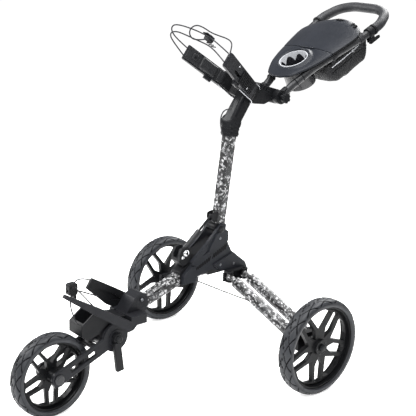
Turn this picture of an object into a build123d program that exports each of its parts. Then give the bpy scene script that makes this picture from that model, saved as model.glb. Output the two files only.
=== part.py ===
from build123d import *
import math
import os

# Three-wheel folding golf push cart.
# Millimetres. X is across the cart (+X on the user's left seen from the front wheel),
# -Y is forward, +Z is up. Shapes are drawn with y = 0 at the rear axle and are moved
# at export, so that the origin is the centre of the cart's box, on the ground.

# ---------------------------------------------------------------- driving dimensions
REAR_R = 146.0            # rear wheel radius (11.5 inch wheel)
FRONT_R = 120.65          # front wheel radius (9.5 inch wheel)
TYRE_W = 50.0
HUB_HALF = 16.0           # half length of a rear hub
HALF_TRACK = 360.0
WHEELBASE = 690.0
HANDLE_LENGTH = 509.0     # handle pivot to the back of the grip, along the handle
HANDLE_TILT = 27.4        # degrees above the horizontal
GRIP_D = 31.0
TUBE_D = 24.0             # handle tube
LEG_D = 35.0              # leg tubes
WALL = 2.0
CORD_R = 2.0              # elastic bag cord
SHAFT_GAP = 0.05          # radial running clearance of every shaft
GAP = 0.1                 # clearance of a tube in its socket

DRUM = (-499.0, 195.0)            # front fork pivot, (y, z)
FRONT_AXLE = (-WHEELBASE, FRONT_R)
HINGE = (-100.0, 440.0)           # mast pivot
MAST_LOW = (-83.7, 452.0)
ELBOW = (-44.0, 757.0)
MAST_TOP = (2.0, 823.0)
CRADLE = (9.0, 843.0)             # root of the upper bag cradle
PIVOT = (110.0, 825.0)            # handle pivot
TUBE_TOP = (-160.0, 330.7)        # front tube, upper end
TUBE_END = (-404.0, 252.4)        # front tube, lower end
STRUT_LOW = (-225.0, 385.0)       # gas strut pivots
STRUT_HIGH = (-113.0, 478.0)
LID_HINGE = (202.5, 47.0)         # along and off the handle
LEG_ROOT = (52.0, -45.0, 288.0)
LEG_END = (302.0, -4.0, 161.0)
LEG_SPACING = 60.0                # between the two tubes of a leg
SECTION = (36.0, 35.0, 9.0)       # rounded square tube: wide, deep, corner radius

TILT = math.radians(HANDLE_TILT)
GRIP_BACK = PIVOT[0] + HANDLE_LENGTH * math.cos(TILT) - 20 * math.sin(TILT)
MID_Y = (GRIP_BACK - WHEELBASE - FRONT_R) / 2

# Local frames: local x is the cart's x. In the handle frame local y runs along the
# handle and z stands off its top. In the cradle frames local y runs along the arms
# towards the bag and z runs down the bag's axis.
HANDLE = Plane((0, *PIVOT), x_dir=(1, 0, 0), z_dir=(0, -math.sin(TILT), math.cos(TILT)))
UPPER_CRADLE = Plane((0, *CRADLE), x_dir=(1, 0, 0), z_dir=(0, -0.6, -0.8))

nodes = {}


# ---------------------------------------------------------------- helpers
def side(outline, x0, x1, corner=0.0):
    """Outline in (y, z), extruded from x0 to x1, with its corners rounded."""
    face = make_face(Polyline(*outline, close=True))
    if corner:
        face = fillet(face.vertices(), corner)
    return extrude(Plane.YZ.offset(x0) * face, x1 - x0)


def plan(outline, z0, z1, corner=0.0):
    """Outline in local (x, y), extruded from z0 to z1."""
    face = make_face(Polyline(*outline, close=True))
    if corner:
        face = fillet(face.vertices(), corner)
    return extrude(Plane.XY.offset(z0) * face, z1 - z0)


def block(x, y, z):
    """Box from (low, high) pairs."""
    size = [b - a for a, b in (x, y, z)]
    return Pos(*[(a + b) / 2 for a, b in (x, y, z)]) * Box(*size)


def rod(start, end, radius):
    axis = Vector(*end) - Vector(*start)
    base = Align.CENTER, Align.CENTER, Align.MIN
    return Plane(start, z_dir=axis) * Cylinder(radius, axis.length, align=base)


def across(spot, x0, x1, radius):
    """Cylinder along x at spot, a (y, z) pair."""
    return rod((x0, *spot), (x1, *spot), radius)


def bar(start, end, wide, deep, corner, x=0.0):
    """Rounded rectangular bar between two (y, z) places."""
    begin = Vector(x, *start)
    run = Vector(x, *end) - begin
    plane = Plane(begin, x_dir=(1, 0, 0), z_dir=run)
    return extrude(plane * RectangleRounded(wide, deep, corner), run.length)


def tube(start, end):
    wide, deep, corner = SECTION
    inner = bar(start, end, wide - 2 * WALL, deep - 2 * WALL, corner - WALL)
    return bar(start, end, wide, deep, corner) - inner


def socket(start, end):
    wide, deep, corner = SECTION
    return bar(start, end, wide + 2 * GAP, deep + 2 * GAP, corner)


def between(start, end, share):
    return tuple(a + (b - a) * share for a, b in zip(start, end))


def sweep_round(path, radius, inner=0.0):
    ring = Circle(radius)
    if inner:
        ring -= Circle(inner)
    return sweep((path ^ 0) * ring, path=path)


def cord(name, route):
    """Cord tube: straight runs joined by arcs as large as their runs allow."""
    spots = [Vector(*p) for p in route]
    radii = []
    for before, here, after in zip(spots, spots[1:], spots[2:]):
        turn = math.radians((here - before).get_angle(after - here))
        shorter = min((here - before).length, (after - here).length)
        radii.append(0.45 * shorter / math.tan(turn / 2))
    path = FilletPolyline(*spots, radius=radii)
    nodes[name] = sweep_round(path, CORD_R)
    length = path.length
    print(name, "length", round(length), "radii", [round(r) for r in radii])


def mirrored(shape):
    return mirror(shape, about=Plane.YZ)


def pair(shape):
    """Left and right copies of one piece, as separate solids."""
    return Compound(children=shape.solids() + mirrored(shape).solids())


# ---------------------------------------------------------------- wheels
def tyre(radius, inner):
    """Tyre about the x axis, centred on the origin."""
    half = TYRE_W / 2
    profile = Polyline(
        (inner, -half + 6), (inner + 4, -half + 1), (radius - 10, -half),
        (radius - 3, -half + 6), (radius, -half + 15), (radius, half - 15),
        (radius - 3, half - 6), (radius - 10, half), (inner + 4, half - 1),
        (inner, half - 6), close=True)
    ring = revolve(Plane.XZ * make_face(profile), Axis.Z)
    return ring


def rim(radius, hub, bore, hub_half):
    """Five-spoke rim: each spoke is a pair of kinked ribs round a long window."""
    # long_window lies inside a pair of ribs, outer_gap between two pairs
    half = TYRE_W / 2
    web = radius - 9
    rib = 7.0
    windows = Sketch()
    for k in range(5):
        turn = Rot(0, 0, 72 * k)
        long_window = Polyline(
            (0.25 * web, 0), (0.50 * web, -0.125 * web), (0.93 * web, -0.110 * web),
            (0.975 * web, 0), (0.93 * web, 0.110 * web), (0.50 * web, 0.125 * web), close=True)
        outer_gap = Polyline(
            (0.41 * web, 0), (0.84 * web, -0.36 * web), (0.95 * web, -0.18 * web), (0.975 * web, 0),
            (0.95 * web, 0.18 * web), (0.84 * web, 0.36 * web), close=True)
        windows += turn * make_face(long_window)
        windows += turn * Rot(0, 0, 36) * make_face(outer_gap)
    barrel = Cylinder(radius, TYRE_W - 12) - Cylinder(radius - 5, TYRE_W)
    lip = Pos(0, 0, half - 8) * (Cylinder(radius, 4) - Cylinder(web + 3, 4))
    lips = lip + Pos(0, 0, 2 * (8 - half)) * lip
    spokes = Cylinder(radius - 2, 2 * rib) - extrude(Plane.XY.offset(-rib) * windows, 2 * rib)
    for face in (rib, -rib):
        spokes -= Pos(0, 0, face) * (Cylinder(radius - 5, 8) - Cylinder(web - 2, 8))
    centre = Cylinder(hub, 2 * hub_half)
    body = barrel + lips + spokes + centre - Cylinder(bore, 4 * hub_half)
    return Rot(0, 90, 0) * body


def wheel(name, radius, x, spot, shaft, hub_half, hub):
    bed = radius - 20
    place = Pos(x, *spot)
    nodes["tyre_" + name] = place * Rot(0, 90, 0) * tyre(radius, bed)
    nodes["rim_" + name] = place * rim(bed, hub, shaft + SHAFT_GAP, hub_half)


# ---------------------------------------------------------------- main frame
def frame():
    nodes["front_tube"] = tube(TUBE_TOP, TUBE_END)

    core = side([(-82, 408), (-118, 410), (-152, 394), (-192, 374), (-206, 352), (-246, 330),
                 (-246, 290), (-198, 290), (-184, 304), (-128, 314), (-83, 300), (-30, 296),
                 (-8, 308), (-52, 352), (-70, 393)], -19, 19)
    core -= socket((-130, 340.3), TUBE_END)
    core -= side([(-146, 380), (-110, 396), (-88, 390), (-66, 352), (-90, 338),
                  (-120, 346), (-146, 362)], -20, 20, 3)
    nodes["hinge_core"] = core

    plate = side([(-91, 438), (-70, 431), (-69, 398), (-50, 361), (7, 316), (19, 280), (2, 298),
                  (-30, 298), (-83, 302), (-128, 316), (-184, 306), (-198, 290), (-243, 290),
                  (-241, 320), (-212, 346), (-150, 372), (-141, 394), (-117, 427)], 19.5, 27)
    rail = side([(-76, 451), (-78, 435), (-130, 394), (-190, 350), (-207, 341), (-210, 358),
                 (-151, 402), (-111, 440), (-92, 456)], 19.5, 29, 1.5)
    upper_lobe = side([(-93, 437), (-71, 430), (-70, 399), (-134, 374), (-148, 371),
                       (-140, 393), (-116, 426)], 27, 34, 3)
    lower_lobe = side([(-126, 331), (-50, 355), (5, 315), (14, 293), (-30, 300), (-83, 304),
                       (-108, 315)], 27, 34, 3)
    toe = side([(-243, 292), (-241, 318), (-214, 343), (-196, 338), (-190, 312),
                (-200, 292)], 27, 32, 2)
    shell = plate + rail + upper_lobe + lower_lobe + toe
    first = Vector(-188, 331)
    step = Vector(7.2, 3.0)
    for k in range(17):
        if k == 8:
            continue
        spot = first + step * k
        slot = Pos(26, spot.X, spot.Y) * Rot(-23, 0, 0) * Box(5, 3.6, 13 + 0.5 * k)
        shell -= slot
    for spot in ((-102, 411), (-98, 326), (-43, 319)):
        shell -= across(spot, 31, 36, 5)
    shell -= across(HINGE, 0, 40, 6) + across(HINGE, 29, 40, 9.5)
    nodes["hinge_plate_left"] = shell
    nodes["hinge_plate_right"] = mirrored(shell)

    screws = []
    for spot in ((-102, 411), (-98, 326), (-43, 319)):
        head = across(spot, 31, 33.5, 4.2) - across(spot, 32.2, 34, 2)
        screws += [head, mirrored(head)]
    nodes["hinge_screws"] = Compound(children=[s.solid() for s in screws])

    pin = across(HINGE, -30, 30, 6) + across(HINGE, 29, 33, 9)
    pin += across(HINGE, -33, -29, 9)
    nodes["mast_pin"] = pin

    cheeks = side([(-250, 384), (-240, 401), (-222, 404), (-206, 396), (-203, 368), (-214, 352),
                   (-236, 345), (-250, 362)], -19, 19, 4)
    cheeks -= block((-10, 10), (-270, -180), (372, 420))
    cheeks -= side([(-192.2, 374), (-206.2, 352), (-246, 330), (-190, 330)], -20, 20)
    cheeks += across(STRUT_LOW, -25, 25, 4)
    nodes["strut_anchor"] = cheeks

    nodes["leg_roots"] = pair(leg_root())


def leg_pins(spot):
    """The two vertical pins of a leg, front and rear."""
    x, y, z = spot
    return (x, y - LEG_SPACING / 2, z), (x, y + LEG_SPACING / 2, z)


def leg_root():
    x, y, z = LEG_ROOT
    half = LEG_SPACING / 2
    body = block((34.1, 40.5), (y - half - 14, y + half + 14), (z - 17, z + 10))
    for low, high in ((12, 17), (-17, -12)):
        plate = block((36, x), (y - half - 11, y + half + 11), (z + low, z + high))
        for pin in leg_pins(LEG_ROOT):
            plate += Pos(pin[0], pin[1], z + (low + high) / 2) * Cylinder(11, high - low)
        body += plate
    body += block((36, 40.5), (y - half - 11, y + half + 11), (z + 10, z + 17))
    for pin in leg_pins(LEG_ROOT):
        body += Pos(*pin) * Cylinder(4, 40)
    return body


def leg_tube(front):
    """One leg tube with the flat eye at each end."""
    pick = 0 if front else 1
    start = Vector(*leg_pins(LEG_ROOT)[pick])
    end = Vector(*leg_pins(LEG_END)[pick])
    run = (end - start).normalized()
    near, far = start + run * 25, end - run * 25
    shape = rod(near, far, LEG_D / 2)
    shape += rod(start + run * 5, near, 8.5) + rod(far, end - run * 5, 8.5)
    for spot in (start, end):
        shape += Pos(*spot) * Cylinder(10.5, 19)
    for spot, bore in ((start, 4 + SHAFT_GAP), (end, 4 + SHAFT_GAP if front else 6.5)):
        shape -= Pos(*spot) * Cylinder(bore, 60)
    cap = Vector(0, 0, 1)
    for spot in (start, end):
        shape -= Pos(*(spot + cap * 19.5)) * Cylinder(13, 20)
        shape -= Pos(*(spot - cap * 19.5)) * Cylinder(13, 20)
    return shape


def knuckle():
    x, y, z = LEG_END
    half = LEG_SPACING / 2
    body = block((x + 12.5, x + 24), (y - half - 14, y + half + 14), (z - 30, z + 17))
    for low, high in ((12, 16), (-16, -12)):
        plate = block((x, x + 14), (y - half - 10, y + half + 10), (z + low, z + high))
        for pin in leg_pins(LEG_END):
            plate += Pos(pin[0], pin[1], z + (low + high) / 2) * Cylinder(10, high - low)
        body += plate
    for pin in leg_pins(LEG_END):
        body += Pos(*pin) * Cylinder(4, 38)
    body += across((0, REAR_R), x + 12.5, HALF_TRACK - HUB_HALF, 21)
    body += across((0, REAR_R), x + 20, HALF_TRACK + HUB_HALF + 2, 6)
    body += across((0, REAR_R), HALF_TRACK + HUB_HALF + 1, HALF_TRACK + HUB_HALF + 4, 9)
    return body


def rear_legs():
    parts = {"leg_front": leg_tube(True), "leg_rear": leg_tube(False), "knuckle": knuckle()}
    for name, shape in parts.items():
        nodes[name + "_left"] = shape
        nodes[name + "_right"] = mirrored(shape)
    wheel("left", REAR_R, HALF_TRACK, (0, REAR_R), 6, HUB_HALF, 24)
    wheel("right", REAR_R, -HALF_TRACK, (0, REAR_R), 6, HUB_HALF, 24)


# ---------------------------------------------------------------- front end
def front_end():
    clamp = side([(-378, 294), (-370, 268), (-388, 226), (-424, 192), (-452, 190), (-462, 214),
                  (-452, 246), (-420, 290), (-396, 300)], -26, 26, 4)
    clamp -= socket(TUBE_TOP, TUBE_END)
    for y, z in ((-396, 281), (-401, 240)):
        clamp += across((y, z), -28.5, 28.5, 7) - socket(TUBE_TOP, TUBE_END)
    bridge = block((-49, 58), (-455, -400), (222, 250)) - block((-26, 26), (-500, -300), (0, 400))
    nodes["front_clamp"] = clamp + bridge

    wide = side([(-376, 268), (-406, 226), (-470, 262), (-540, 327), (-520, 354),
                 (-448, 312)], -49, -42, 3)
    wide -= side([(-410, 262), (-452, 272), (-500, 312), (-506, 322), (-450, 292)], -46, -41, 2)
    nodes["lower_arm_wide"] = wide - nodes["front_clamp"]
    thin = side([(-446, 232), (-460, 206), (-570, 280), (-680, 360), (-674, 369),
                 (-560, 302)], 46, 58, 2)
    thin -= side([(-480, 236), (-486, 226), (-560, 278), (-556, 288)], 45, 50, 1)
    nodes["lower_arm_thin"] = thin - nodes["front_clamp"]

    tray = side([(-607, 252), (-607, 220), (-586, 203), (-547, 216), (-520, 236), (-456, 236),
                 (-456, 248), (-530, 258), (-568, 280)], -32, 32)
    tray -= side([(-599, 320), (-599, 224), (-583, 212), (-550, 224), (-545, 320)], -27, 27)
    nodes["base_tray"] = tray

    housing = across(DRUM, -33, 33, 38)
    neck = side([(-490, 232), (-452, 233), (-452, 192), (-470, 168), (-500, 180)], -22, 22)
    neck -= side([(-378, 294), (-370, 268), (-388, 226), (-424, 192), (-452, 190), (-462, 214),
                  (-452, 246), (-420, 290), (-396, 300)], -26, 26, 4)
    housing += neck
    housing -= across(DRUM, -34, 34, 6)
    nodes["drum_housing"] = housing
    pin = across(DRUM, -46, 59, 6 - SHAFT_GAP)
    pin += across(DRUM, 58.3, 62, 10) + across(DRUM, -48, -44, 10)
    nodes["drum_pin"] = pin

    arm = fork_arm()
    bridge_spot = between(DRUM, FRONT_AXLE, 60 / 205)
    nodes["fork"] = arm + mirrored(arm) + across(bridge_spot, -34.5, 34.5, 9)
    axle = across(FRONT_AXLE, -46, 46, 5)
    for sign in (1, -1):
        low, high = sorted((sign * 43.1, sign * 49))
        axle += across(FRONT_AXLE, low, high, 8)
    nodes["front_axle"] = axle
    wheel("front", FRONT_R, 0, FRONT_AXLE, 5, 31, 20)

    lever = across(DRUM, 48, 57.5, 16)
    lever += bar((-506, 186), (-494, 98), 14, 24, 3, x=55.0)
    lever -= block((40, 48), (-530, -470), (80, 240))
    lever -= across(DRUM, 40, 90, 6 + SHAFT_GAP) + across(DRUM, 57.9, 70, 11)
    nodes["fold_pedal"] = lever

    hook = block((-9, 9), (-632, -604), (340, 374))
    hook = fillet(hook.edges().filter_by(Axis.X), 6)
    hook -= block((-5, 5), (-640, -600), (350, 356))
    hook += block((-6, 6), (-614, -606), (322, 342))
    nodes["lower_hook"] = hook


def fork_arm():
    """Near-side fork arm: cover disc at the drum, slotted bar, axle eye."""
    arm = across(DRUM, 34, 43, 42) + bar(DRUM, FRONT_AXLE, 9, 44, 4, x=38.5)
    arm += across(FRONT_AXLE, 34, 43, 22)
    arm -= bar(between(DRUM, FRONT_AXLE, 0.36), between(DRUM, FRONT_AXLE, 0.80), 30, 15, 4, x=38.5)
    arm += across(DRUM, 42, 45.5, 24) - across(DRUM, 44, 47, 19)
    arm -= across(DRUM, 20, 60, 6 + SHAFT_GAP)
    arm -= across(FRONT_AXLE, 20, 60, 5)
    return arm


# ---------------------------------------------------------------- mast
def mast():
    top = between(MAST_LOW, ELBOW, 0.96)
    nodes["mast_tube"] = tube(MAST_LOW, top)

    wide, deep, corner = SECTION
    under = between(MAST_LOW, ELBOW, -0.075)
    above = between(MAST_LOW, ELBOW, 0.11)
    foot = bar(under, MAST_LOW, wide, deep, corner)
    foot += bar(MAST_LOW, above, wide - 2 * WALL, deep - 2 * WALL, corner - WALL)
    foot += across(HINGE, -18, 18, 13.5)
    foot -= across(HINGE, -20, 20, 6 + SHAFT_GAP) + nodes["mast_tube"]
    nodes["mast_foot"] = foot

    lug = side([(-92, 458), (-88, 490), (-106, 490), (-119, 486), (-120, 471),
                (-112, 460)], -13, 13, 2)
    lug -= block((-9, 9), (-140, -70), (440, 520))
    lug -= socket(MAST_LOW, top)
    nodes["strut_lug"] = lug

    sleeve = bar(between(MAST_LOW, ELBOW, 0.87), ELBOW, 44, 43, 11)
    sleeve += bar(ELBOW, MAST_TOP, 44, 43, 11) + across(ELBOW, -22, 22, 21.5)
    sleeve -= socket(MAST_LOW, top)
    for share in (0.885, 0.93):
        ring = bar(between(MAST_LOW, ELBOW, share), between(MAST_LOW, ELBOW, share + 0.016),
                   46.5, 45.5, 12)
        sleeve += ring - socket(MAST_LOW, top)
    nodes["elbow_sleeve"] = sleeve

    bracket()
    arms()

    barrel = across(PIVOT, -32, 32, 22)
    beam = side([(22, 862), (40, 873), (76, 858), (112, 847), (90, 815), (60, 806), (16, 812),
                 (4, 834)], -32, 32, 4)
    housing = beam + barrel
    for k in range(5):
        y = 36 + 11 * k
        z = 869 - 4.6 * k
        housing -= Pos(0, y, z) * Rot(-24, 0, 0) * Box(80, 4.5, 18)
    housing -= across(PIVOT, -40, 40, 6)
    housing -= nodes["elbow_sleeve"]
    housing -= nodes["upper_bracket"]
    nodes["pivot_housing"] = housing.solids().sort_by(SortBy.VOLUME)[-1]

    nodes["handle_pin"] = across(PIVOT, -57, 57, 6 - SHAFT_GAP) + across(PIVOT, -60, -56.6, 9)

    clip = block((-8, 8), (-160, -112), (990, 1028))
    clip = fillet(clip.edges().filter_by(Axis.X), 9)
    clip -= block((-4, 4), (-170, -100), (1006, 1011))
    nodes["upper_clip"] = clip


def bracket():
    """Centre of the upper cradle, a U that carries the two arms."""
    outer = [(-44, 70), (-44, 4), (-30, -16), (30, -16), (44, 4), (44, 70), (36, 70),
             (36, 26), (22, 12), (-22, 12), (-36, 26), (-36, 70)]
    shape = UPPER_CRADLE * plan(outer, -24, 22)
    edge = [(-46, 66), (-46, 2), (-31, -18), (31, -18), (46, 2), (46, 66), (43, 66),
            (43, 5), (29, -15), (-29, -15), (-43, 5), (-43, 66)]
    shape += UPPER_CRADLE * plan(edge, 20, 24)
    shape += UPPER_CRADLE * plan(edge, -26, -22)
    shape -= nodes["elbow_sleeve"]
    nodes["upper_bracket"] = shape.solids().sort_by(SortBy.VOLUME)[-1]


def arms():
    """The two arms that hug the bag, each with its rubber pad."""
    arm = [(44.1, 8), (50, 12), (60, 50), (96, 196), (92, 202), (86, 200), (50, 70), (44.1, 70)]
    shape = UPPER_CRADLE * plan(arm, -24, 22)
    window = UPPER_CRADLE * (Pos(72, 130, 6) * Rot(0, 0, -14.5) * Box(40, 44, 9))
    lug = UPPER_CRADLE * (Pos(62, 104, 27) * Rot(0, 0, -14.5) * Box(8, 26, 10))
    shape = shape - window + lug - nodes["upper_bracket"]
    rubber = UPPER_CRADLE * plan([(49.8, 74), (85.5, 199), (82.5, 200), (46.8, 75)], -20, 18)
    nodes["upper_arms"] = pair(shape)
    nodes["arm_pads"] = pair(rubber - shape)


# ---------------------------------------------------------------- gas strut
def strut():
    run = Vector(0, STRUT_HIGH[0] - STRUT_LOW[0], STRUT_HIGH[1] - STRUT_LOW[1])
    unit = run.normalized()
    start = Vector(0, *STRUT_LOW)
    end = Vector(0, *STRUT_HIGH)
    body = rod(start + unit * 5, start + unit * 84, 8)
    body += rod((-8, *STRUT_LOW), (8, *STRUT_LOW), 8)
    body -= rod(start + unit * 9.5, start + unit * 90, 4.3)
    body -= across(STRUT_LOW, -12, 12, 4 + SHAFT_GAP)
    nodes["strut_cylinder"] = body
    piston = rod(start + unit * 60, end - unit * 3, 3.9)
    eye = across(STRUT_HIGH, -6, 6, 5)
    nodes["strut_rod"] = piston + eye - across(STRUT_HIGH, -12, 12, 2.5)


# ---------------------------------------------------------------- handle
HANDLE_HALF = [(46, 14, 0), (50, 60, 6), (72, 134, 20), (116, 339, 20), (121, 412, 20),
               (98, 470, 20), (52, 493, 20)]
HANDLE_BENDS = [100, 120, 200, 80, 60, 90]


CONSOLE = [(47, 16), (60, 46), (92, 68), (122, 84), (160, 96), (202, 105), (250, 114),
           (305, 119), (338, 104), (362, 78), (378, 42)]      # station, half width


def console_width(along):
    for (a, wide), (b, next_wide) in zip(CONSOLE, CONSOLE[1:]):
        if a <= along <= b:
            return wide + (next_wide - wide) * (along - a) / (b - a)


def console_outline(first, last, inset=0.0):
    """Shield-shaped outline of the console between two stations."""
    stations = [first] + [a for a, _ in CONSOLE if first + 3 < a < last - 3] + [last]
    edge = [(console_width(a) - inset, a) for a in stations]
    return edge + [(-w, a) for w, a in reversed(edge)]


def handle():
    whole = HANDLE_HALF + [(-x, a, n) for x, a, n in reversed(HANDLE_HALF)]
    bends = HANDLE_BENDS + HANDLE_BENDS[::-1]
    loop = HANDLE * FilletPolyline(*whole, radius=bends)
    nodes["handle_tube"] = sweep_round(loop, TUBE_D / 2)

    along = 383
    share = (along - 339) / (412 - 339)
    start = (116 + 5 * share, along, 20)
    half = [start] + HANDLE_HALF[4:]
    grip = half + [(-x, a, n) for x, a, n in reversed(half)]
    bends = HANDLE_BENDS[3:] + HANDLE_BENDS[:2:-1]
    path = HANDLE * FilletPolyline(*grip, radius=bends)
    nodes["handle_grip"] = sweep_round(path, GRIP_D / 2, TUBE_D / 2)

    side_block = across(PIVOT, 33, 56, 21)
    side_block += HANDLE * rod((46, 0, 0), (47.6, 34, 2.4), 15)
    side_block -= HANDLE * rod((46, 13.8, -0.2), (52.4, 87.5, 9.7), TUBE_D / 2 + GAP)
    side_block -= across(PIVOT, 20, 80, 6 + SHAFT_GAP) + across(PIVOT, 56, 70, 40)
    side_block -= across(PIVOT, 20, 33, 40)
    side_block -= nodes["handle_tube"]
    side_block = side_block.solids().sort_by(SortBy.VOLUME)[-1]
    nodes["handle_knuckles"] = pair(side_block)
    console()

    knob = across(PIVOT, 57.6, 62, 8) + across(PIVOT, 62, 78, 15)
    for k in range(6):
        angle = math.radians(60 * k)
        spot = (PIVOT[0] + 17 * math.cos(angle), PIVOT[1] + 17 * math.sin(angle))
        knob -= across(spot, 61, 80, 5)
    knob -= across(PIVOT, 50, 66, 6 + SHAFT_GAP)
    nodes["lock_knob"] = knob

    clamp = HANDLE * rod((117.0, 353, 20), (118.2, 371, 20), 17)
    clamp += HANDLE * block((108, 128), (352, 370), (-12, 8))
    clamp -= HANDLE * block((112, 124), (350, 390), (-14, 3))
    clamp -= nodes["handle_tube"]
    clamp = clamp.solids().sort_by(SortBy.VOLUME)[-1]
    clamp += HANDLE * rod((109, 358, -5), (127, 358, -5), 2.5)
    nodes["brake_clamp"] = clamp
    lever = HANDLE * plan([(113, 352), (123, 352), (124, 396), (118, 402), (112, 396)], -16, -11, 2)
    lever += HANDLE * rod((113.5, 358, -5), (122.5, 358, -5), 6.5)
    lever += HANDLE * block((113.5, 122.5), (353, 363), (-14, -6))
    lever -= HANDLE * rod((100, 358, -5), (140, 358, -5), 2.5 + SHAFT_GAP)
    nodes["brake_lever"] = lever

    bag = side([(190, 0), (190, -54), (232, -76), (282, -88), (366, -89), (388, -70),
                (393, -36), (393, 0)], -88, 88, 8)
    nodes["accessory_bag"] = HANDLE * bag


def console():
    cup = 46.5
    cup_place = Pos(0, 136, 0)
    shell = plan(console_outline(47, 201.9), 33, 46, 3)
    shell -= cup_place * Pos(0, 0, 40) * Cylinder(cup, 40)
    shell -= plan([(-40, 191), (40, 191), (40, 206), (-40, 206)], 30, 37)
    rear = plan(console_outline(201.9, 378), 33, 36.5, 3)
    rear -= plan(console_outline(214, 352, 34.0), 30, 40, 3)
    shell -= block((-31, 31), (LID_HINGE[0] - 3, 206), (44.5, 50))
    nodes["console_shell"] = HANDLE * (shell + rear)

    tray = plan([(50, 187), (72, 203), (92, 300), (80, 352), (56, 368), (-56, 368), (-80, 352),
                 (-92, 300), (-72, 203), (-50, 187)], 1, 32.9, 6)
    tray -= plan([(48, 191), (69, 206), (88, 300), (77, 348), (54, 364), (-54, 364), (-77, 348),
                  (-88, 300), (-69, 206), (-48, 191)], 4, 40, 5)
    nodes["console_tray"] = HANDLE * tray

    lid = plan(console_outline(203, 377, 1.0), 37, 42, 3)
    lid += plan(console_outline(206, 372, 6.0), 41, 46.5, 3)
    lid += plan([(-18, 370), (18, 370), (14, 386), (-14, 386)], 37, 41, 3)
    lid += block((-30, 30), (LID_HINGE[0], 210), (41, LID_HINGE[1]))
    lid += rod((-30, *LID_HINGE), (30, *LID_HINGE), 2.0)
    nodes["console_lid"] = HANDLE * lid

    liner = Pos(0, 0, 1) * Cylinder(46.3, 92) - Pos(0, 0, 4) * Cylinder(43.8, 93)
    nodes["cup_liner"] = HANDLE * (cup_place * liner)


# ---------------------------------------------------------------- cords and cables
def cords():
    cord("upper_cord_top", [
        (-88, -146, 974), (-82, -180, 996), (-72, -216, 1022), (-62, -231, 1042), (-50, -225, 1053),
        (-26, -190, 1042), (-2, -150, 1022), (34, -140, 1004), (84, -141, 980)])
    cord("upper_cord_low", [
        (-88, -160, 953), (-81, -188, 978), (-74, -214, 1002), (-65, -231, 1018), (-52, -238, 1031),
        (-37, -227, 1033), (-23, -202, 1021), (-8, -172, 1006), (14, -152, 994), (48, -150, 976),
        (88, -158, 956)])
    cord("upper_cord_slack", [
        (3, -158, 1011), (-10, -188, 1008), (-13, -204, 1024), (-8, -206, 1043), (2, -192, 1054),
        (8, -170, 1046), (15, -146, 1030), (28, -128, 1022), (46, -115, 1016), (66, -114, 1009),
        (80, -124, 995), (93, -147, 970)])
    cord("lower_cord_top", [
        (-43, -524, 349), (-32, -556, 364), (-16, -592, 373), (4, -617, 369), (16, -604, 350),
        (32, -588, 327), (48, -572, 303)])
    cord("lower_cord_low", [
        (-43, -500, 294), (-30, -546, 318), (-12, -590, 342), (0, -618, 345), (6, -628, 320),
        (6, -622, 288), (4, -607, 256)])
    brake = [(12, -176, 286), (60, -146, 271), (104, -112, 254), (146, -80, 240)]
    cord("brake_wire", brake)
    loop = [(16, -62, 800), (22, -84, 806), (23, -104, 794), (23, -108, 770), (23, -104, 748),
            (22, -96, 726), (20.5, -88, 704)]
    cord("mast_cable", loop)


def main():
    frame()
    rear_legs()
    front_end()
    mast()
    strut()
    handle()
    cords()
    os.makedirs("parts", exist_ok=True)
    for name, shape in nodes.items():
        export_step(Pos(0, -MID_Y, 0) * shape, f"parts/{name}.step")
    print(len(nodes), "nodes, middle of the box at y", round(MID_Y, 2))


main()
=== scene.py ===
"""Looks of the three-wheel push cart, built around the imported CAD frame.

Metres, unless a name ends in _MM or a comment says otherwise.
"""
import math

import bmesh
import bpy
import numpy as np
from mathutils import Matrix, Vector
from mathutils.bvhtree import BVHTree


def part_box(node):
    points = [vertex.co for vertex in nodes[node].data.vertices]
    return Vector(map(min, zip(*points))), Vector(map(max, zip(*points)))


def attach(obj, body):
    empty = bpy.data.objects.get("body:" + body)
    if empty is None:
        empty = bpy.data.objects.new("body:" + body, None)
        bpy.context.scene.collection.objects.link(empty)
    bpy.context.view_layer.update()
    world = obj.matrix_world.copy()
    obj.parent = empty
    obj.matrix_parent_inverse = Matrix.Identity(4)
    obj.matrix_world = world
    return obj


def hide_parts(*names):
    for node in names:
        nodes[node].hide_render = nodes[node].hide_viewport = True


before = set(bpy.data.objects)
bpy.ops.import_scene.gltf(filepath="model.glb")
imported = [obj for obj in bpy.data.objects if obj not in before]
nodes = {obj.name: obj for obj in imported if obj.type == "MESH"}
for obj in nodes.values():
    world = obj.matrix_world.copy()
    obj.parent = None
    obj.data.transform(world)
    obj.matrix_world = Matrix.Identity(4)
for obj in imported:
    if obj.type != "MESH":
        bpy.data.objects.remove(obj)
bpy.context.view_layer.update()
MM = 0.001


def middle(node):
    low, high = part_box(node)
    return (low + high) / 2


# Places that come from the frame.
AXLE_Y = middle("tyre_left").y
REAR_R = middle("tyre_left").z
FRONT_HUB = middle("tyre_front")
FRONT_R = FRONT_HUB.z
TYRE_HALF = (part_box("tyre_left")[1].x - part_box("tyre_left")[0].x) / 2
PIVOT = middle("handle_pin")
DRUM = middle("drum_pin")
HINGE = middle("mast_pin")
TILT = math.radians(27.4)              # handle above the horizontal
ALONG = Vector((0, math.cos(TILT), math.sin(TILT)))
OUT = Vector((0, -math.sin(TILT), math.cos(TILT)))
ACROSS = Vector((1, 0, 0))


def design(x, y, z):
    """A point in millimetres from the rear axle's middle on the ground, in the row frame."""
    return Vector((x * MM, y * MM + AXLE_Y, z * MM))


def on_handle(x, along, off):
    """A point in millimetres in the handle's own directions, from its pivot."""
    return Vector((0, PIVOT.y, PIVOT.z)) + (ACROSS * x + ALONG * along + OUT * off) * MM


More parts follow.
